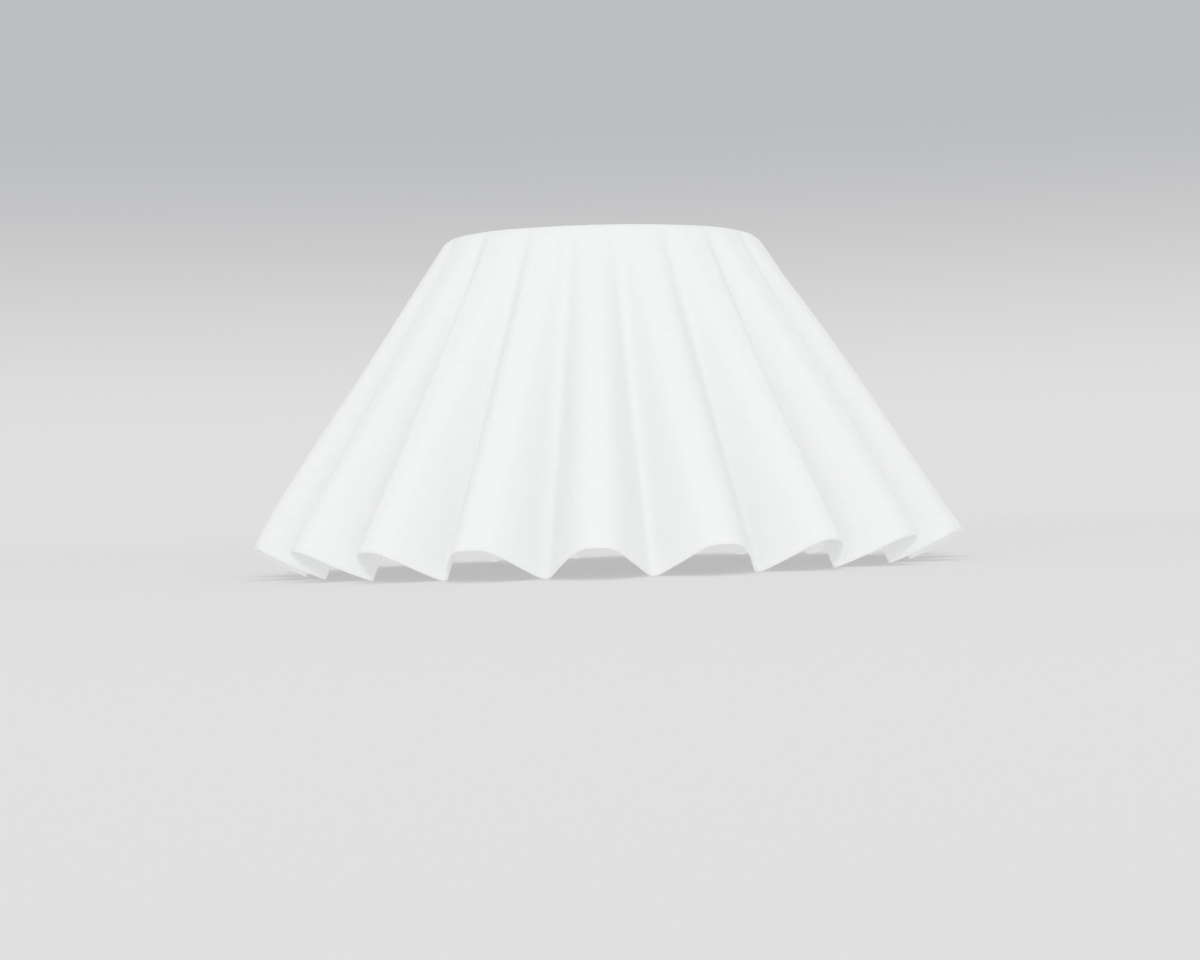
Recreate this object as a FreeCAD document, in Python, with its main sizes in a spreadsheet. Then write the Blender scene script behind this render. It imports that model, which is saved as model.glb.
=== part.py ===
# A pleated flat-bottomed paper coffee filter, standing upside down on its rim.
# It is one disc of filter paper, pressed into a cup: a flat round base, a soft
# corner round it, and a wall of even pleats. The ridges of the pleats carry on from
# the corner as one cone. The inward folds between them start just below the corner and
# stand steeper, so the pleats deepen in straight lines down to the rim. The edge of the
# disc keeps its distance from the corner, so the folds reach lower than the ridges,
# and the filter stands on their tips.
# The origin is in the middle of the ring of tips, +Z is up, and sizes are in mm.

import FreeCAD
import Part
import Sketcher
import math
import os

Vector = FreeCAD.Vector

SIZES = {
    # the disc of paper, and the flat base that is pressed into it
    "blank_diameter": 166.5,
    "base_diameter": 50.0,
    "paper_thickness": 0.25,
    # radius of the soft corner between base and wall, on the outside
    "corner_radius": 3.0,
    # pleats, and how far their ridges and folds lean out from upright, in degrees
    "pleat_count": 20,
    "ridge_lean": 33.1,
    "fold_lean": 23.3,
    # opening of a fold, square to it, from flank to flank, and its bend's radius
    "fold_angle": 64.0,
    "fold_radius": 0.7,
    # how far outside the corner's lower end the fold's line sets off
    "fold_start": 0.02,
    # radius of the shoulder between a flank and the crown, full at the rim, and how
    # far outside the corner the first of its facets sets off
    "shoulder_radius": 3.0,
    "shoulder_start": 0.1,
}

# Sizes that follow from the ones above.
DERIVED = {
    "pitch": "=360 / pleat_count",
    "corner_turn": "=90 - ridge_lean",
    # radii of the flat base and of the corner's lower end, and the corner's height
    "flat_radius": "=base_diameter / 2 - corner_radius * tan(corner_turn / 2)",
    "corner_reach": "=flat_radius + corner_radius * sin(corner_turn)",
    "corner_drop": "=corner_radius * (1 - cos(corner_turn))",
    # paper left for the wall, measured straight down a ridge from the corner
    "slant": "=blank_diameter / 2 - flat_radius - corner_radius * corner_turn * pi / 180",
    # heights above the tips of the folds, whose inner side is the lowest
    "tip_turn": "=asin((paper_thickness - fold_start * cos(fold_lean)) / slant) / 1deg",
    "corner_height": "=slant * cos(fold_lean - tip_turn)",
    "base_height": "=corner_height + corner_drop",
    # a level section one slant length below the corner, seen from the middle of the
    # fold: how the flank runs, where flank and shoulder start, and the crown's radius
    "flank_turn": "=atan(tan(fold_angle / 2) * cos(fold_lean)) / 1deg",
    "fold_sharp": "=corner_reach + fold_start + slant * tan(fold_lean) "
                  "- fold_radius * (1 / sin(fold_angle / 2) - 1) / cos(fold_lean)",
    "crown_reach": "=corner_reach + slant * tan(ridge_lean)",
    "shoulder_across": "=fold_sharp * sin(flank_turn) - shoulder_radius",
    "shoulder_along": "=sqrt((crown_reach - shoulder_radius)^2 - shoulder_across^2)",
    "shoulder_turn": "=flank_turn - atan(shoulder_across / shoulder_along) / 1deg",
    # a groove is cut deeper than any pleat, from above the corner to past the rim
    "groove_depth": "=slant / 3",
    "groove_length": "=2 * corner_radius + 1.2 * slant",
}

# Facets that round each shoulder from the flank to the crown.
SHOULDER_FACETS = 2
for facet in range(1, SHOULDER_FACETS + 1):
    DERIVED.update({
        # the facet's turn, from the flank's on towards the crown's
        f"facet_turn_{facet}":
            f"=flank_turn + (90 - flank_turn + shoulder_turn) * {facet} / {SHOULDER_FACETS + 1}",
        # where the level section's tangent meets the middle of the fold
        f"facet_reach_{facet}":
            f"=(shoulder_across * cos(facet_turn_{facet} - flank_turn) + shoulder_along * "
            f"sin(facet_turn_{facet} - flank_turn) + shoulder_radius) / sin(facet_turn_{facet})",
        f"facet_lean_{facet}":
            f"=atan((facet_reach_{facet} - corner_reach - shoulder_start) / slant) / 1deg",
        f"facet_angle_{facet}":
            f"=2 * atan(tan(facet_turn_{facet}) / cos(facet_lean_{facet})) / 1deg",
    })


def make_sheet(doc):
    """The spreadsheet of sizes, one alias a row, with the derived ones below."""
    sheet = doc.addObject("Spreadsheet::Sheet", "sizes")
    for row, (alias, value) in enumerate({**SIZES, **DERIVED}.items(), start=1):
        sheet.set(f"A{row}", alias)
        sheet.set(f"B{row}", str(value))
        sheet.setAlias(f"B{row}", alias)
    doc.recompute()
    return sheet


def origin_feature(body, role):
    """One of the body's own planes or axes, found by its role."""
    for feature in body.Origin.OriginFeatures:
        if feature.Role == role:
            return feature
    raise RuntimeError(f"the body has no {role}")


def new_sketch(body, name, role):
    sketch = body.newObject("Sketcher::SketchObject", name)
    sketch.AttachmentSupport = [(origin_feature(body, role), "")]
    sketch.MapMode = "FlatFace"
    return sketch


def arc(sketch, centre, radius, start, end):
    """An arc about a centre, from one angle to another in degrees. Returns its number."""
    circle = Part.Circle(Vector(*centre, 0), Vector(0, 0, 1), radius)
    curve = Part.ArcOfCircle(circle, math.radians(start), math.radians(end))
    return sketch.addGeometry(curve, False)


def line(sketch, start, end):
    """A straight edge between two points. Returns its number."""
    return sketch.addGeometry(Part.LineSegment(Vector(*start, 0), Vector(*end, 0)), False)


def polar(radius, angle, centre):
    turn = math.radians(angle)
    return centre[0] + radius * math.cos(turn), centre[1] + radius * math.sin(turn)


def hold(sketch, *terms):
    """A geometric constraint."""
    sketch.addConstraint(Sketcher.Constraint(*terms))


def size(sketch, name, formula, *terms):
    """A dimension whose value is bound to the spreadsheet."""
    index = sketch.addConstraint(Sketcher.Constraint(*terms))
    sketch.renameConstraint(index, name)
    sketch.setExpression(f"Constraints.{name}", formula)


# Names for the points of a sketch's edges, and for its origin and two axes.
START, END, CENTRE = range(1, 4)
ORIGIN = (-1, 1)
X_AXIS, Y_AXIS = range(-1, -3, -1)


def cup_profile(body, sheet, inset, formula):
    """Section from the axis out: base, soft corner, ridge line, and the round cut of
    the rim. The inset is the side's depth in the paper. The inner side runs on past
    the rim by as much, so that the cup is open there."""
    flat, bend = sheet.flat_radius, sheet.corner_radius - inset
    top, turn = sheet.base_height - inset, sheet.corner_turn
    reach, high, slant = sheet.corner_reach, sheet.corner_height, sheet.slant
    centre = (flat, top - bend)
    start = polar(bend, 90 - turn, centre)
    lean = math.radians(sheet.ridge_lean)
    cut_radius = slant + inset
    along = math.sqrt(cut_radius ** 2 - inset ** 2)
    far = (start[0] + along * math.sin(lean), start[1] - along * math.cos(lean))
    swing = math.degrees(math.atan2(far[1] - high, far[0] - reach))
    low = (reach, high - cut_radius)

    sketch = new_sketch(body, "cup_profile", "XZ_Plane")
    base = line(sketch, (0, top), (flat, top))
    corner = arc(sketch, centre, bend, 90 - turn, 90)
    ridge = line(sketch, start, far)
    rim = arc(sketch, (reach, high), cut_radius, -90, swing)
    under = line(sketch, low, (0, low[1]))
    axis = line(sketch, (0, low[1]), (0, top))

    hold(sketch, "Horizontal", base)
    hold(sketch, "Tangent", base, END, corner, END)
    hold(sketch, "Tangent", corner, START, ridge, START)
    hold(sketch, "Coincident", ridge, END, rim, END)
    hold(sketch, "Coincident", rim, START, under, START)
    hold(sketch, "Horizontal", under)
    hold(sketch, "Coincident", under, END, axis, START)
    hold(sketch, "Coincident", axis, END, base, START)
    hold(sketch, "Vertical", axis)
    hold(sketch, "PointOnObject", axis, END, Y_AXIS)
    hold(sketch, "Vertical", rim, CENTRE, rim, START)
    size(sketch, "height", f"sizes.base_height - {formula}", "DistanceY", *ORIGIN, base, START, top)
    size(sketch, "flat_radius", "sizes.flat_radius", "Distance", base, flat)
    size(sketch, "corner_radius", f"sizes.corner_radius - {formula}", "Radius", corner, bend)
    size(sketch, "corner_turn", "sizes.corner_turn", "Angle", corner, math.radians(turn))
    size(sketch, "rim_reach", "sizes.corner_reach", "DistanceX", *ORIGIN, rim, CENTRE, reach)
    size(sketch, "rim_height", "sizes.corner_height", "DistanceY", *ORIGIN, rim, CENTRE, high)
    size(sketch, "slant", f"sizes.slant + {formula}", "Radius", rim, cut_radius)
    return sketch


def groove_profile(body, sheet, inset, formula, name, lean, angle, start, bend):
    """The V of one groove, square to its own bottom line. The sketch's origin is on the
    outer bottom line, a little above the corner. Lean, angle, start and bend are
    spreadsheet formulas. A groove with no bend is sharp."""
    sketch = new_sketch(body, name, "XY_Plane")
    tilt = float(sketch.evalExpression(lean))
    half = float(sketch.evalExpression(f"({angle}) / 2"))
    turned = FreeCAD.Rotation(Vector(0, -1, 0), tilt)
    sketch.AttachmentOffset = FreeCAD.Placement(Vector(0, 0, 0), turned)
    sketch.setExpression("AttachmentOffset.Rotation.Angle", lean)
    sketch.setExpression("AttachmentOffset.Base.x",
                         f"sizes.corner_reach + {start} - sizes.corner_radius * sin({lean})")
    sketch.setExpression("AttachmentOffset.Base.z",
                         f"sizes.corner_height + sizes.corner_radius * cos({lean})")
    deep = sheet.groove_depth
    slope = math.tan(math.radians(half))
    if bend:
        inner = float(sketch.evalExpression(bend))
        centre = (inner, 0)
        upper = polar(inner + inset, 90 + half, centre)
    else:
        upper = (-inset / math.sin(math.radians(half)), 0)
    corner = (deep, upper[1] + (deep - upper[0]) * slope)
    mirrored = (deep, -corner[1])
    flank = line(sketch, upper, corner)
    mouth = line(sketch, corner, mirrored)
    other = line(sketch, mirrored, (upper[0], -upper[1]))
    hold(sketch, "Coincident", flank, END, mouth, START)
    hold(sketch, "Coincident", mouth, END, other, START)
    hold(sketch, "Symmetric", mouth, START, mouth, END, X_AXIS)
    size(sketch, "depth", "sizes.groove_depth", "DistanceX", *ORIGIN, mouth, START, deep)
    if bend:
        bottom = arc(sketch, centre, inner + inset, 90 + half, 270 - half)
        hold(sketch, "Tangent", bottom, START, flank, START)
        hold(sketch, "Tangent", other, END, bottom, END)
        hold(sketch, "PointOnObject", bottom, CENTRE, X_AXIS)
        size(sketch, "centre", bend, "DistanceX", *ORIGIN, bottom, CENTRE, inner)
        size(sketch, "bend", f"{bend} + {formula}", "Radius", bottom, inner + inset)
        size(sketch, "opening", f"180 - {angle}", "Angle", bottom, math.radians(180 - 2 * half))
    else:
        hold(sketch, "Coincident", flank, START, other, END)
        hold(sketch, "PointOnObject", flank, START, X_AXIS)
        size(sketch, "opening", f"({angle}) / 2", "Angle", flank, math.radians(half))
        size(sketch, "bottom", f"sizes.groove_depth + {formula} / sin(({angle}) / 2)",
             "DistanceX", flank, START, mouth, START, deep - upper[0])
    return sketch


def pleat(body, sheet, inset, formula):
    """One pitch of the cup, from the middle of a ridge to the next, filled to the axis,
    with the fold cut into it and the facets of its shoulders."""
    wedge = body.newObject("PartDesign::Revolution", f"{body.Name}_wedge")
    wedge.Profile = cup_profile(body, sheet, inset, formula)
    wedge.ReferenceAxis = (origin_feature(body, "Z_Axis"), [""])
    wedge.Midplane = True
    wedge.setExpression("Angle", "sizes.pitch")
    body.Document.recompute()

    grooves = [("fold", "sizes.fold_lean", "sizes.fold_angle", "sizes.fold_start", "sizes.fold_radius")]
    for facet in range(1, SHOULDER_FACETS + 1):
        grooves.append((f"facet_{facet}", f"sizes.facet_lean_{facet}", f"sizes.facet_angle_{facet}",
                        "sizes.shoulder_start", None))
    last = wedge
    for name, lean, angle, start, bend in grooves:
        groove = body.newObject("PartDesign::Pocket", f"{body.Name}_{name}")
        groove.Profile = groove_profile(
            body, sheet, inset, formula, f"{body.Name}_{name}_profile", lean, angle, start, bend)
        groove.setExpression("Length", "sizes.groove_length")
        body.Document.recompute()
        if groove.Shape.Volume >= last.Shape.Volume:
            raise RuntimeError(f"{name} was not cut")
        last = groove
    return last


doc = FreeCAD.newDocument("coffee_filter")
sheet = make_sheet(doc)

# one pleat: its outside, less its inside
inside = doc.addObject("PartDesign::Body", "inside")
pleat(inside, sheet, sheet.paper_thickness, "sizes.paper_thickness")
body = doc.addObject("PartDesign::Body", "filter")
body.Label = "filter"
outside = pleat(body, sheet, 0, "0")
hollow = body.newObject("PartDesign::Boolean", "hollow")
hollow.Type = "Cut"
hollow.setObjects([inside])
body.Tip = hollow
doc.recompute()

# the ring of pleats, turned so that a ridge faces the front
ring = body.newObject("PartDesign::PolarPattern", "ring")
ring.TransformMode = "Whole shape"
ring.Axis = (origin_feature(body, "Z_Axis"), [""])
ring.Angle = 360
ring.setExpression("Occurrences", "sizes.pleat_count")
body.Tip = ring
body.setExpression("Placement.Rotation.Angle", "sizes.pitch / 2")
doc.recompute()

for item in doc.Objects:
    if "Invalid" in item.State or "Error" in item.State:
        raise RuntimeError(f"{item.Name} failed: {item.State}")
if body.Shape.isNull() or not body.Shape.isValid() or len(body.Shape.Solids) != 1:
    raise RuntimeError("the filter is not one valid solid")

os.makedirs("parts", exist_ok=True)
body.Shape.exportStep(f"parts/{body.Label}.step")
box = body.Shape.optimalBoundingBox(False)
print(f"filter: {box.XLength:.2f} x {box.YLength:.2f} x {box.ZLength:.2f} mm from z {box.ZMin:.3f}, "
      f"{len(body.Shape.Faces)} faces, {body.Shape.Volume:.0f} mm3")
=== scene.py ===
# A pleated paper coffee filter, standing on its rim on a pale seamless floor.
# The paper is one mesh: an outer and an inner skin that meet in the rounded cut of the
# rim. Its pleats follow the solid's sizes, each with small differences of its own.
# Lengths are in metres and angles in radians, unless a name says otherwise.

import math

import bpy
import numpy as np
from mathutils import Matrix, Vector


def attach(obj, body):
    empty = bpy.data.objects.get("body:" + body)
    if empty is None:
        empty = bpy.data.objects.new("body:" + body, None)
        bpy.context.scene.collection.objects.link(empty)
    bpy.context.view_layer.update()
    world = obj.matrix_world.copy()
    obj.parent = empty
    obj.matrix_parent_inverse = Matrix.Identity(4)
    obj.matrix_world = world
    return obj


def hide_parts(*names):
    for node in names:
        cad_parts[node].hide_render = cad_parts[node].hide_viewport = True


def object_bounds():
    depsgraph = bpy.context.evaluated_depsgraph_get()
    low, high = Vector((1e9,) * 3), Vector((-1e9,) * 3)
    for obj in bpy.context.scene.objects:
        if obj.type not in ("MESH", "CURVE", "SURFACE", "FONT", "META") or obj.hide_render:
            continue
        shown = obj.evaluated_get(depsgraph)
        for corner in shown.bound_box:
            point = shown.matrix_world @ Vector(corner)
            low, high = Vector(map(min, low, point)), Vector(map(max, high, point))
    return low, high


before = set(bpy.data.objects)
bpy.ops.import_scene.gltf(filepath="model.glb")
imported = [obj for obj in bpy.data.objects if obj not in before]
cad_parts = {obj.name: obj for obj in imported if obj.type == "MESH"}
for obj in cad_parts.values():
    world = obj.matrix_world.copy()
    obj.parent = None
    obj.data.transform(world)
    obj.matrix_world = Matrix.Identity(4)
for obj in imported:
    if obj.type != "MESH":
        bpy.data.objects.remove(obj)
cad_low, cad_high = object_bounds()
SEED = 20
rng = np.random.default_rng(SEED)
MM = 0.001

# Sizes of the folded paper, the same as the solid's, with a softer corner.
PLEATS = 20
BASE_RADIUS = 25 * MM
CORNER_RADIUS = 3.5 * MM
RIDGE_LEAN = math.radians(33.1)
FOLD_LEAN = math.radians(23.3)
PAPER = 0.25 * MM

# What follows from them: the corner between base and wall, and the wall's length.
PITCH = 2 * math.pi / PLEATS
CORNER_TURN = math.pi / 2 - RIDGE_LEAN
FLAT_RADIUS = BASE_RADIUS - CORNER_RADIUS * math.tan(CORNER_TURN / 2)
CORNER_REACH = FLAT_RADIUS + CORNER_RADIUS * math.sin(CORNER_TURN)
CORNER_DROP = CORNER_RADIUS * (1 - math.cos(CORNER_TURN))
CORNER_HEIGHT = cad_high.z - CORNER_DROP
SLANT = (cad_high.x - CORNER_REACH) / math.sin(RIDGE_LEAN)
WALL_DROP = SLANT * math.cos(RIDGE_LEAN)

# The base leans to the right against the rim and hangs a little at its edge. The folds
# ease out of the soft corner, as wide troughs.
BASE_TILT = math.radians(0.5)
EDGE_DROP = 0.7 * MM
FOLD_EASE = 0.7 * MM
FOLD_START = 3.4 * MM

# Half the width of a groove, in angle about the axis, and how much of its flank is
# taken up by the round of the fold and by the round of the shoulder: near the corner
# and at the rim.
GROOVE_HALF = (math.radians(4.4), math.radians(6.73))
FOLD_ROUND = (0.5, 0.22)
SHOULDER_ROUND = (0.42, 0.24)

# A groove takes up at most this share of its half pleat, and its two rounds at most this
# share of its flank.
GROOVE_LIMIT = 0.95
ROUNDS_LIMIT = 0.95

# The form of a pleat goes on this far past the rim, as a share of the wall.
PAST_RIM = 1.1

# Segments of half a pleat, from the middle of a fold to the middle of a ridge.
FOLD_STEPS, FLANK_STEPS, SHOULDER_STEPS, CROWN_STEPS = 3, 6, 4, 3
HALF_STEPS = FOLD_STEPS + FLANK_STEPS + SHOULDER_STEPS + CROWN_STEPS
COLUMNS = 2 * PLEATS * HALF_STEPS

# The folds and ridges that the front shows, in degrees off their even places, at the
# rim and just below the corner. Number 0 is the fold to the right of the front ridge,
# and the numbers go on to the right.
FOLD_SHIFTS = {0: -0.1, 1: 0.8, 19: -0.6, 18: -1.1}
FOLD_TOP_SHIFTS = {0: -1.5, 1: -2.0, 2: -1.6, 19: -0.1, 18: 1.5, 17: 0.5}
RIDGE_SHIFTS = {0: 0.15, 1: -0.05, 2: -0.1, 19: -0.3, 18: -0.4}

# Ridges that lean out further, in degrees, and ridges that bow outwards: by how much at
# most, and how far down the wall.
RIDGE_LEANS = {4: 0.1, 5: -0.2, 14: 0.2, 15: 0.4, 16: 0.7, 17: 0.2}
RIDGE_BOWS = {
    3: (0.4 * MM, 0.5), 4: (1.0 * MM, 0.5), 5: (0.0, 0.5), 6: (0.0, 0.5),
    14: (0.3 * MM, 0.8), 15: (0.4 * MM, 0.8), 16: (0.9 * MM, 0.8), 17: (0.3 * MM, 0.8),
}


def smooth(x):
    """Eases from 0 to 1."""
    x = np.clip(x, 0, 1)
    return x * x * (3 - 2 * x)


# Size of the table of random values, and the numbers that spread lattice corners over it.
TABLE_SIZE = 4096
SPREAD = (73856093, 19349663, 83492791)


def lattice_noise(points, scale, seed):
    """Soft random values from -1 to 1, about one bump for each length of scale."""
    table = np.random.default_rng(seed).uniform(-1, 1, TABLE_SIZE)
    cell = points / scale
    corner = np.floor(cell).astype(np.int64)
    part = cell - corner
    part = part * part * (3 - 2 * part)
    total = np.zeros(len(points))
    for step in np.ndindex(2, 2, 2):
        x, y, z = (corner + np.array(step)).T
        index = (x * SPREAD[0] ^ y * SPREAD[1] ^ z * SPREAD[2]) % TABLE_SIZE
        weight = np.prod(np.where(np.array(step) == 1, part, 1 - part), axis=1)
        total += weight * table[index]
    return total


# Each pleat's own differences from the even form: small random ones, and then those that
# the front shows.
fold_shift = np.radians(rng.uniform(-0.6, 0.6, PLEATS))
ridge_shift = np.radians(rng.uniform(-0.4, 0.4, PLEATS))
fold_top_shift = np.radians(rng.uniform(-1.2, 1.2, PLEATS))
for number, shift in FOLD_SHIFTS.items():
    fold_shift[number] = math.radians(shift)
for number, shift in FOLD_TOP_SHIFTS.items():
    fold_top_shift[number] = math.radians(shift)
for number, shift in RIDGE_SHIFTS.items():
    ridge_shift[number] = math.radians(shift)
fold_lean = FOLD_LEAN + np.radians(rng.uniform(-0.35, 0.35, PLEATS))
ridge_lean = RIDGE_LEAN + np.radians(rng.uniform(-0.25, 0.1, PLEATS))
ridge_bow = rng.uniform(-0.15, 0.15, PLEATS) * MM
bow_place = rng.uniform(0.4, 0.7, PLEATS)
for number, (bow, place) in RIDGE_BOWS.items():
    ridge_bow[number], bow_place[number] = bow, place
for number, shift in RIDGE_LEANS.items():
    ridge_lean[number] = RIDGE_LEAN + math.radians(shift)
half_width = rng.uniform(0.96, 1.04, (PLEATS, 2))
half_round = rng.uniform(0.75, 1.3, (PLEATS, 2))


def column_layout():
    """For each column: its fold, its ridge, which side of the fold it is on, and how
    far along the half pleat it lies, in steps."""
    fold, ridge, side, step = [], [], [], []
    for pleat in range(PLEATS):
        for i in range(HALF_STEPS):
            fold.append(pleat)
            ridge.append(pleat)
            side.append(-1)
            step.append(HALF_STEPS - i)
        for i in range(HALF_STEPS):
            fold.append(pleat)
            ridge.append((pleat + 1) % PLEATS)
            side.append(1)
            step.append(i)
    return np.array(fold), np.array(ridge), np.array(side), np.array(step)


FOLD, RIDGE, SIDE, STEP = column_layout()


def eased(drop):
    """How far down a fold a level is. The fold sets off softly above the corner's end."""
    return FOLD_EASE * np.log1p(np.exp((drop + FOLD_START) / FOLD_EASE))


def section(drop):
    """Angle and radius of every column on a level that is drop below the corner's
    lower end. drop holds one value for each column."""
    which = (SIDE + 1) // 2
    share = np.clip(drop / WALL_DROP, 0, PAST_RIM)

    def along_wall(ends):
        return ends[0] + (ends[1] - ends[0]) * share

    own_ridge = ridge_shift[RIDGE] * share
    own_fold = fold_top_shift[FOLD] * (1 - share) + fold_shift[FOLD] * share
    half = PITCH / 2 + SIDE * (own_ridge - own_fold)
    groove = along_wall(GROOVE_HALF) * half_width[FOLD, which]
    fold_round = along_wall(FOLD_ROUND)
    shoulder_round = along_wall(SHOULDER_ROUND) * half_round[FOLD, which]
    shoulder_round = np.minimum(shoulder_round, ROUNDS_LIMIT - fold_round)
    groove = np.minimum(groove, GROOVE_LIMIT * half / (1 + shoulder_round))

    steps = [FOLD_STEPS, FLANK_STEPS, SHOULDER_STEPS, CROWN_STEPS]
    marks = [0 * groove, fold_round * groove, (1 - shoulder_round) * groove,
             (1 + shoulder_round) * groove, half]
    angle, before = np.zeros(COLUMNS), 0
    for low, high, count in zip(marks[:-1], marks[1:], steps):
        inside = (STEP > before) & (STEP <= before + count)
        angle = np.where(inside, low + (high - low) * (STEP - before) / count, angle)
        before += count

    crown = CORNER_REACH + np.maximum(drop, 0) * np.tan(ridge_lean[RIDGE])
    power = math.log(0.5) / np.log(bow_place[RIDGE])
    crown += ridge_bow[RIDGE] * np.sin(math.pi * np.clip(share, 0, 1) ** power)
    full = WALL_DROP * (math.tan(RIDGE_LEAN) - np.tan(fold_lean[FOLD]))
    depth = full * eased(drop) / eased(WALL_DROP)
    depth *= smooth((drop + CORNER_DROP) / CORNER_DROP) / (1 - fold_round / 2)
    place = angle / groove
    height = 1 - place
    rounded = 1 - (place ** 2 + fold_round ** 2) / (2 * fold_round)
    height = np.where(place < fold_round, rounded, height)
    rounded = np.maximum(1 + shoulder_round - place, 0) ** 2 / (4 * shoulder_round)
    height = np.where(place > 1 - shoulder_round, rounded, height)
    middle = (FOLD + 0.5) * PITCH + own_fold
    return middle + SIDE * angle, crown - depth * height, depth * height


# A row of the wall is found step by step, and never reaches out further than this share
# of its distance from the corner.
ROW_ROUNDS = 30
REACH_LIMIT = 0.95


def wall_row(distance):
    """Points of the wall at one distance from the corner, measured in each upright
    plane, as the disc's own edge is."""
    drop = np.full(COLUMNS, distance * math.cos(RIDGE_LEAN))
    for _ in range(ROW_ROUNDS):
        angle, radius, _ = section(drop)
        reach = np.clip(radius - CORNER_REACH, 0, REACH_LIMIT * distance)
        drop = 0.5 * drop + 0.5 * np.sqrt(distance ** 2 - reach ** 2)
    return around(angle, radius, CORNER_HEIGHT - drop)


def around(angle, radius, height):
    """Points at angles from the front, turning to the right as seen from the front."""
    angle = np.broadcast_to(angle, np.shape(radius + angle))
    return np.stack([radius * np.sin(angle), -radius * np.cos(angle),
                     np.broadcast_to(height, angle.shape)], axis=-1)


def corner_row(turn):
    """Points of the soft corner, from the flat base at turn 0 to the wall."""
    sunk = CORNER_RADIUS * (1 - math.cos(turn))
    angle, _, depth = section(np.full(COLUMNS, sunk - CORNER_DROP))
    return around(angle, FLAT_RADIUS + CORNER_RADIUS * math.sin(turn) - depth, cad_high.z - sunk)


# Rows of the outer skin, from the edge of the flat base down to the rim. Those of the
# wall start just past the corner and lie a little further apart on the way down.
CORNER_ROWS = 8
WALL_ROWS = 100
WALL_START = 1e-6
ROW_GROWTH = 1.12
corner_rows = [corner_row(CORNER_TURN * i / CORNER_ROWS) for i in range(CORNER_ROWS)]
wall_rows = [wall_row(WALL_START + (SLANT - WALL_START) * (i / WALL_ROWS) ** ROW_GROWTH)
             for i in range(WALL_ROWS + 1)]
outer = np.array(corner_rows + wall_rows)


def tilt(points):
    """Leans and lowers the base's edge, more the nearer a point is to the base."""
    share = np.clip(points[..., 2] / cad_high.z, 0, 1)
    moved = points.copy()
    moved[..., 2] -= (points[..., 0] * math.tan(BASE_TILT) + EDGE_DROP) * share
    return moved


def normals_of(grid):
    """Outward directions of a grid of points that is closed round the axis."""
    along = np.gradient(grid, axis=0)
    round_it = np.roll(grid, -1, axis=1) - np.roll(grid, 1, axis=1)
    normal = np.cross(along, round_it)
    return normal / np.maximum(np.linalg.norm(normal, axis=-1, keepdims=True), 1e-12)


# Waves of the paper, wide and narrow: height and width.
WAVES = [(0.10 * MM, 14 * MM), (0.045 * MM, 5 * MM), (0.022 * MM, 2.2 * MM)]

# Small dents in the front of the wall: angle from the front in degrees, height, width
# along the wall and across it, and depth, less than nothing for a bump.
DENTS = [
    (-29, 34.5 * MM, 0.9 * MM, 0.6 * MM, 0.10 * MM),
    (-27, 33.0 * MM, 0.6 * MM, 0.9 * MM, -0.06 * MM),
    (-10, 36.0 * MM, 0.7 * MM, 1.0 * MM, 0.08 * MM),
    (-41, 32.0 * MM, 0.8 * MM, 0.7 * MM, 0.09 * MM),
    (-47, 38.0 * MM, 0.7 * MM, 0.7 * MM, 0.08 * MM),
    (9, 38.5 * MM, 0.9 * MM, 0.6 * MM, 0.09 * MM),
    (24, 42.0 * MM, 1.0 * MM, 0.6 * MM, 0.07 * MM),
    (-40, 27.5 * MM, 0.6 * MM, 1.3 * MM, -0.07 * MM),
]


def relief(points):
    """Height of the paper's own unevenness over its even form."""
    flat = points.reshape(-1, 3)
    height = np.zeros(len(flat))
    for seed, (rise, width) in enumerate(WAVES, start=1):
        height += rise * lattice_noise(flat, width, seed)
    turn = np.arctan2(flat[:, 0], -flat[:, 1])
    reach = np.hypot(flat[:, 0], flat[:, 1])
    for angle, level, long, wide, deep in DENTS:
        across = (turn - math.radians(angle)) * reach / wide
        along = (flat[:, 2] - level) / long
        height -= deep * np.exp(-across ** 2 - along ** 2)
    return height.reshape(points.shape[:-1])


def settle(points):
    """Stands the tip of every fold on the floor, with room for the round cut."""
    tips = np.array([points[-1, FOLD == number, 2].min() for number in range(PLEATS)])
    share = np.clip(1 - points[..., 2] / cad_high.z, 0, 1) * (1 - STEP / HALF_STEPS)
    moved = points.copy()
    moved[..., 2] += (cad_low.z + TIP_CLEARANCE - tips[FOLD]) * share
    return moved


# The inner skin takes every second row down to this one, and every fifth further down.
INNER_CLOSE_ROWS = 18
INNER_CLOSE_STEP = 2
INNER_FAR_STEP = 5

# How far the cut of the rim stands out past the ends of the two skins, and how high the
# outer skin's tips are over the floor, to leave room for it.
CUT_BULGE = 0.4 * PAPER
TIP_CLEARANCE = 0.16 * MM

outer = tilt(outer)
outer += normals_of(outer) * relief(outer)[..., None]
outer = settle(outer)
outward = normals_of(outer)
inner = outer - outward * PAPER

# The cut of the rim is half round: points between the two skins, pushed out past them.
RIM_STEPS = 4
down = outer[-1] - outer[-2]
down /= np.linalg.norm(down, axis=-1, keepdims=True)
rim_rows = []
for i in range(1, RIM_STEPS):
    share = i / RIM_STEPS
    bulge = CUT_BULGE * math.sin(math.pi * share)
    rim_rows.append(outer[-1] - outward[-1] * PAPER * share + down * bulge)

# The flat base: every second ring has half as many points as the one before it, down to
# about this count.
BASE_RINGS = [0.97, 0.92, 0.85, 0.76, 0.66, 0.56, 0.46, 0.36, 0.26, 0.17, 0.09]
BASE_FEWEST = 40


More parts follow.
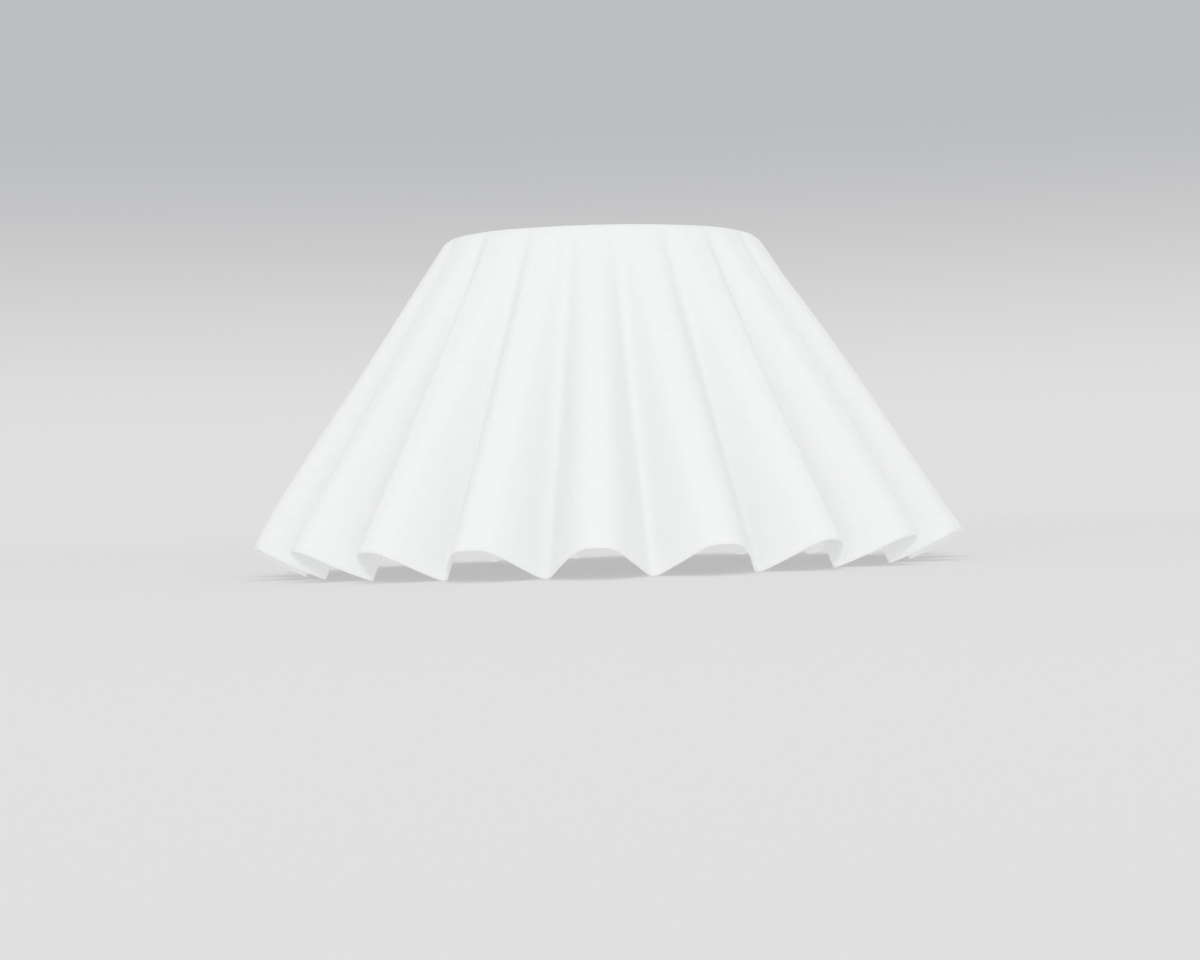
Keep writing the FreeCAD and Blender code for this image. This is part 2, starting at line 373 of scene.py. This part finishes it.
class Skin:
    """Collects the vertices and faces of one mesh."""

    def __init__(self):
        self.points = []
        self.faces = []

    def ring(self, points):
        first = len(self.points)
        self.points.extend(map(tuple, points))
        return list(range(first, first + len(points)))

    def strip(self, upper, lower):
        """Quads between two rings of as many points."""
        count = len(upper)
        for i in range(count):
            j = (i + 1) % count
            self.faces.append((upper[i], lower[i], lower[j], upper[j]))

    def narrowing(self, wide, narrow, inward):
        """Triangles between a ring and one with half as many points."""
        count = len(narrow)
        for i in range(count):
            j = (i + 1) % count
            a, b, c = wide[2 * i], wide[2 * i + 1], wide[(2 * i + 2) % len(wide)]
            for face in ((narrow[i], a, b), (narrow[i], b, narrow[j]), (narrow[j], b, c)):
                self.faces.append(face if inward else face[::-1])

    def disc(self, edge_ring, edge_points, outside):
        """The base inside a ring."""
        middle = edge_points.mean(axis=0)
        ring = edge_ring
        for number, share in enumerate(BASE_RINGS):
            halve = number % 2 == 1 and len(ring) % 2 == 0 and len(ring) > BASE_FEWEST
            count = len(ring) // 2 if halve else len(ring)
            place = edge_points[:: len(edge_points) // count]
            narrower = self.ring(middle + (place - middle) * share)
            if halve:
                self.narrowing(ring, narrower, outside)
            elif outside:
                self.strip(narrower, ring)
            else:
                self.strip(ring, narrower)
            ring = narrower
        hub = self.ring([middle])[0]
        for i in range(len(ring)):
            j = (i + 1) % len(ring)
            self.faces.append((hub, ring[i], ring[j]) if outside else (hub, ring[j], ring[i]))

    def make(self, name):
        """The mesh as an object of the scene, with smooth shading."""
        mesh = bpy.data.meshes.new(name)
        mesh.from_pydata(self.points, [], self.faces)
        mesh.validate()
        mesh.update()
        mesh.shade_smooth()
        made = bpy.data.objects.new(name, mesh)
        bpy.context.scene.collection.objects.link(made)
        return made


skin = Skin()
outer_rings = [skin.ring(row) for row in outer]
for upper, lower in zip(outer_rings[:-1], outer_rings[1:]):
    skin.strip(upper, lower)
skin.disc(outer_rings[0], outer[0], True)
lip = [outer_rings[-1]] + [skin.ring(row) for row in rim_rows]
inner_picks = set(range(0, INNER_CLOSE_ROWS + 1, INNER_CLOSE_STEP))
inner_picks |= set(range(len(outer) - 1, INNER_CLOSE_ROWS, -INNER_FAR_STEP))
inner_picks = sorted(inner_picks | {len(outer) - 2}, reverse=True)
inner_rings = [skin.ring(inner[i]) for i in inner_picks]
lip.append(inner_rings[0])
for upper, lower in zip(lip[:-1], lip[1:]):
    skin.strip(upper, lower)
for lower, upper in zip(inner_rings[:-1], inner_rings[1:]):
    skin.strip(lower, upper)
skin.disc(inner_rings[-1], inner[0], False)

paper = skin.make("filter_paper")


def node_tree(name):
    material = bpy.data.materials.new(name)
    material.use_nodes = True
    return material, material.node_tree.nodes, material.node_tree.links


def noise(nodes, links, place, scale, detail, roughness):
    """A noise texture on object coordinates. Returns its value socket."""
    texture = nodes.new("ShaderNodeTexNoise")
    texture.inputs["Scale"].default_value = scale
    texture.inputs["Detail"].default_value = detail
    texture.inputs["Roughness"].default_value = roughness
    links.new(place, texture.inputs["Vector"])
    return texture.outputs["Fac"]


# The paper's two whites, and the share of light that each of its skins lets through.
PAPER_WHITES = [(0.942, 0.951, 0.940, 1), (0.966, 0.973, 0.963, 1)]
LET_THROUGH = 0.055

# Clouds and fibres for each metre, and how high the fibres stand.
CLOUD_SCALE = 1000
FIBRE_SCALE = 1500
FIBRE_HEIGHT = 0.06 * MM


def filter_paper():
    """White filter paper: cloudy with fibres, and quite matt."""
    material, nodes, links = node_tree("filter_paper")
    shader = nodes["Principled BSDF"]
    shader.inputs["Roughness"].default_value = 0.9
    shader.inputs["Specular IOR Level"].default_value = 0.2
    place = nodes.new("ShaderNodeTexCoord").outputs["Object"]

    clouds = noise(nodes, links, place, CLOUD_SCALE, 5, 0.6)
    ramp = nodes.new("ShaderNodeValToRGB")
    for element, position, white in zip(ramp.color_ramp.elements, (0.3, 0.7), PAPER_WHITES):
        element.position = position
        element.color = white
    links.new(clouds, ramp.inputs["Fac"])
    links.new(ramp.outputs["Color"], shader.inputs["Base Color"])

    fibres = noise(nodes, links, place, FIBRE_SCALE, 6, 0.65)
    bump = nodes.new("ShaderNodeBump")
    bump.inputs["Strength"].default_value = 0.3
    bump.inputs["Distance"].default_value = FIBRE_HEIGHT
    links.new(fibres, bump.inputs["Height"])
    links.new(bump.outputs["Normal"], shader.inputs["Normal"])

    through = nodes.new("ShaderNodeBsdfTranslucent")
    links.new(ramp.outputs["Color"], through.inputs["Color"])
    mix = nodes.new("ShaderNodeMixShader")
    mix.inputs["Fac"].default_value = LET_THROUGH
    links.new(shader.outputs["BSDF"], mix.inputs[1])
    links.new(through.outputs["BSDF"], mix.inputs[2])
    links.new(mix.outputs["Shader"], nodes["Material Output"].inputs["Surface"])
    return material


paper.data.materials.append(filter_paper())
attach(paper, "root")
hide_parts("filter")

# The stage: a pale floor like a light table, and round it a sweep that curves up into a
# backdrop. The even sky lights the filter through both, so its folds and the space
# under it stay as light as they are in thin white paper.
FLOOR_RINGS = [0.05, 0.2, 0.45]
FLOOR_REACH = 0.9
SWEEP_RADIUS = 0.35
SWEEP_STEPS = 16
BACKDROP_TOP = 0.9
STAGE_COLUMNS = 96

# The backdrop's pale grey below, and the darker grey above that is painted shade, as if less
# light reached the top; and the heights between which the one goes over into the other.
BACKDROP_LOW, BACKDROP_PAINTED_SHADE = (0.75, 0.743, 0.741, 1), (0.508, 0.514, 0.526, 1)
PAINTED_SHADE_FROM, PAINTED_SHADE_TO = 0.035, 0.245

# The floor's colour, and how far from the middle it goes over into the backdrop's.
FLOOR_COLOUR = (0.818, 0.807, 0.806, 1)
FADE_FROM, FADE_TO = 0.12, 0.45


def stage_piece(name, profile):
    """A surface of revolution with a radius and height for each ring, from inside out."""
    surface = Skin()
    turns = np.arange(STAGE_COLUMNS) * 2 * math.pi / STAGE_COLUMNS
    rings = [surface.ring(around(turns, np.full(STAGE_COLUMNS, radius), cad_low.z + height))
             for radius, height in profile]
    for inside, outside in zip(rings[:-1], rings[1:]):
        surface.strip(inside, outside)
    if profile[0][1] == profile[1][1]:
        surface.faces.append(tuple(rings[0]))
    return surface.make(name)


floor = stage_piece("floor", [(radius, 0) for radius in FLOOR_RINGS + [FLOOR_REACH]])
sweep = []
for i in range(SWEEP_STEPS + 1):
    turn = math.pi / 2 * i / SWEEP_STEPS
    sweep.append((FLOOR_REACH + SWEEP_RADIUS * math.sin(turn),
                  SWEEP_RADIUS * (1 - math.cos(turn))))
backdrop = stage_piece("backdrop", sweep + [(FLOOR_REACH + SWEEP_RADIUS, BACKDROP_TOP)])
for part in (floor, backdrop):
    part.visible_diffuse = False
    part.visible_shadow = False


def stage_material():
    """Pale floor that takes shadows, and a backdrop whose colour goes by height, with painted
    shade that darkens it towards the top.
    """
    material, nodes, links = node_tree("stage")
    nodes.remove(nodes["Principled BSDF"])
    position = nodes.new("ShaderNodeNewGeometry").outputs["Position"]
    parts = nodes.new("ShaderNodeSeparateXYZ")
    links.new(position, parts.inputs["Vector"])

    # This ramp paints shade on the backdrop: pale grey low down, darker grey towards the top.
    ramp = nodes.new("ShaderNodeValToRGB")
    ramp.color_ramp.elements[0].color = BACKDROP_LOW
    ramp.color_ramp.elements[1].color = BACKDROP_PAINTED_SHADE
    scale = nodes.new("ShaderNodeMapRange")
    scale.interpolation_type = "SMOOTHSTEP"
    scale.inputs["From Min"].default_value = PAINTED_SHADE_FROM
    scale.inputs["From Max"].default_value = PAINTED_SHADE_TO
    links.new(parts.outputs["Z"], scale.inputs["Value"])
    links.new(scale.outputs["Result"], ramp.inputs["Fac"])

    matt = nodes.new("ShaderNodeBsdfDiffuse")
    matt.inputs["Color"].default_value = FLOOR_COLOUR
    glow = nodes.new("ShaderNodeEmission")
    links.new(ramp.outputs["Color"], glow.inputs["Color"])

    rays = nodes.new("ShaderNodeLightPath")
    seen = nodes.new("ShaderNodeMath")
    seen.operation = "MAXIMUM"
    links.new(rays.outputs["Is Camera Ray"], seen.inputs[0])
    links.new(rays.outputs["Is Glossy Ray"], seen.inputs[1])
    length = nodes.new("ShaderNodeVectorMath")
    length.operation = "LENGTH"
    links.new(position, length.inputs[0])
    far = nodes.new("ShaderNodeMapRange")
    far.interpolation_type = "SMOOTHSTEP"
    far.inputs["From Min"].default_value = FADE_FROM
    far.inputs["From Max"].default_value = FADE_TO
    links.new(length.outputs["Value"], far.inputs["Value"])
    share = nodes.new("ShaderNodeMath")
    share.operation = "MULTIPLY"
    links.new(seen.outputs["Value"], share.inputs[0])
    links.new(far.outputs["Result"], share.inputs[1])

    mix = nodes.new("ShaderNodeMixShader")
    links.new(share.outputs["Value"], mix.inputs["Fac"])
    links.new(matt.outputs["BSDF"], mix.inputs[1])
    links.new(glow.outputs["Emission"], mix.inputs[2])
    links.new(mix.outputs["Shader"], nodes["Material Output"].inputs["Surface"])
    return material


shared_stage = stage_material()
for part in (floor, backdrop):
    part.data.materials.append(shared_stage)

# Soft studio light: an even sky, a broad low lamp in front and a weaker one above. Both
# lamps are white discs that point at the middle of the filter.
SKY_COLOUR = (0.985, 0.99, 1, 1)
SKY_STRENGTH = 0.84
LAMP_WIDTH = 0.8
LAMPS = {"front": ((0, -0.9, 0.12), 1.15), "top": ((0, -0.2, 0.9), 0.6)}
CENTRE = Vector((0, 0, cad_high.z / 2))

world = bpy.data.worlds.new("world")
world.use_nodes = True
bpy.context.scene.world = world
background = world.node_tree.nodes["Background"]
background.inputs["Color"].default_value = SKY_COLOUR
background.inputs["Strength"].default_value = SKY_STRENGTH

for name, (place, power) in LAMPS.items():
    light = bpy.data.lights.new(name, "AREA")
    light.shape = "DISK"
    light.size = LAMP_WIDTH
    light.energy = power
    holder = bpy.data.objects.new(name, light)
    holder.location = place
    holder.rotation_euler = (CENTRE - Vector(place)).to_track_quat("-Z", "Y").to_euler()
    bpy.context.scene.collection.objects.link(holder)

# The camera stands level with the lower half of the filter, turned a little to the
# right round it, and leans with the photograph.
CAMERA_DISTANCE = 424 * MM
CAMERA_HEIGHT = 14.0 * MM
CAMERA_TURN = math.radians(1.63)
CAMERA_ROLL = math.radians(1.75)
AXIS_X_PX = 607.8
FOCAL_PX = 2624
PICTURE_WIDTH_PX = 1200
SENSOR_WIDTH = 36

camera_data = bpy.data.cameras.new("camera")
camera_data.sensor_width = SENSOR_WIDTH
camera_data.lens = FOCAL_PX / PICTURE_WIDTH_PX * SENSOR_WIDTH
camera_data.clip_start = 0.01
camera_data.clip_end = 10
camera = bpy.data.objects.new("camera", camera_data)
bpy.context.scene.collection.objects.link(camera)
camera.location = (CAMERA_DISTANCE * math.sin(CAMERA_TURN),
                   -CAMERA_DISTANCE * math.cos(CAMERA_TURN), CAMERA_HEIGHT)
aside = math.atan((AXIS_X_PX - PICTURE_WIDTH_PX / 2) / FOCAL_PX)
level = Matrix.Rotation(CAMERA_TURN + aside, 4, "Z") @ Matrix.Rotation(math.pi / 2, 4, "X")
rolled = level @ Matrix.Rotation(-CAMERA_ROLL, 4, "Z")
camera.matrix_world = Matrix.Translation(camera.location) @ rolled
bpy.context.scene.camera = camera

bpy.context.scene.view_settings.view_transform = "Standard"
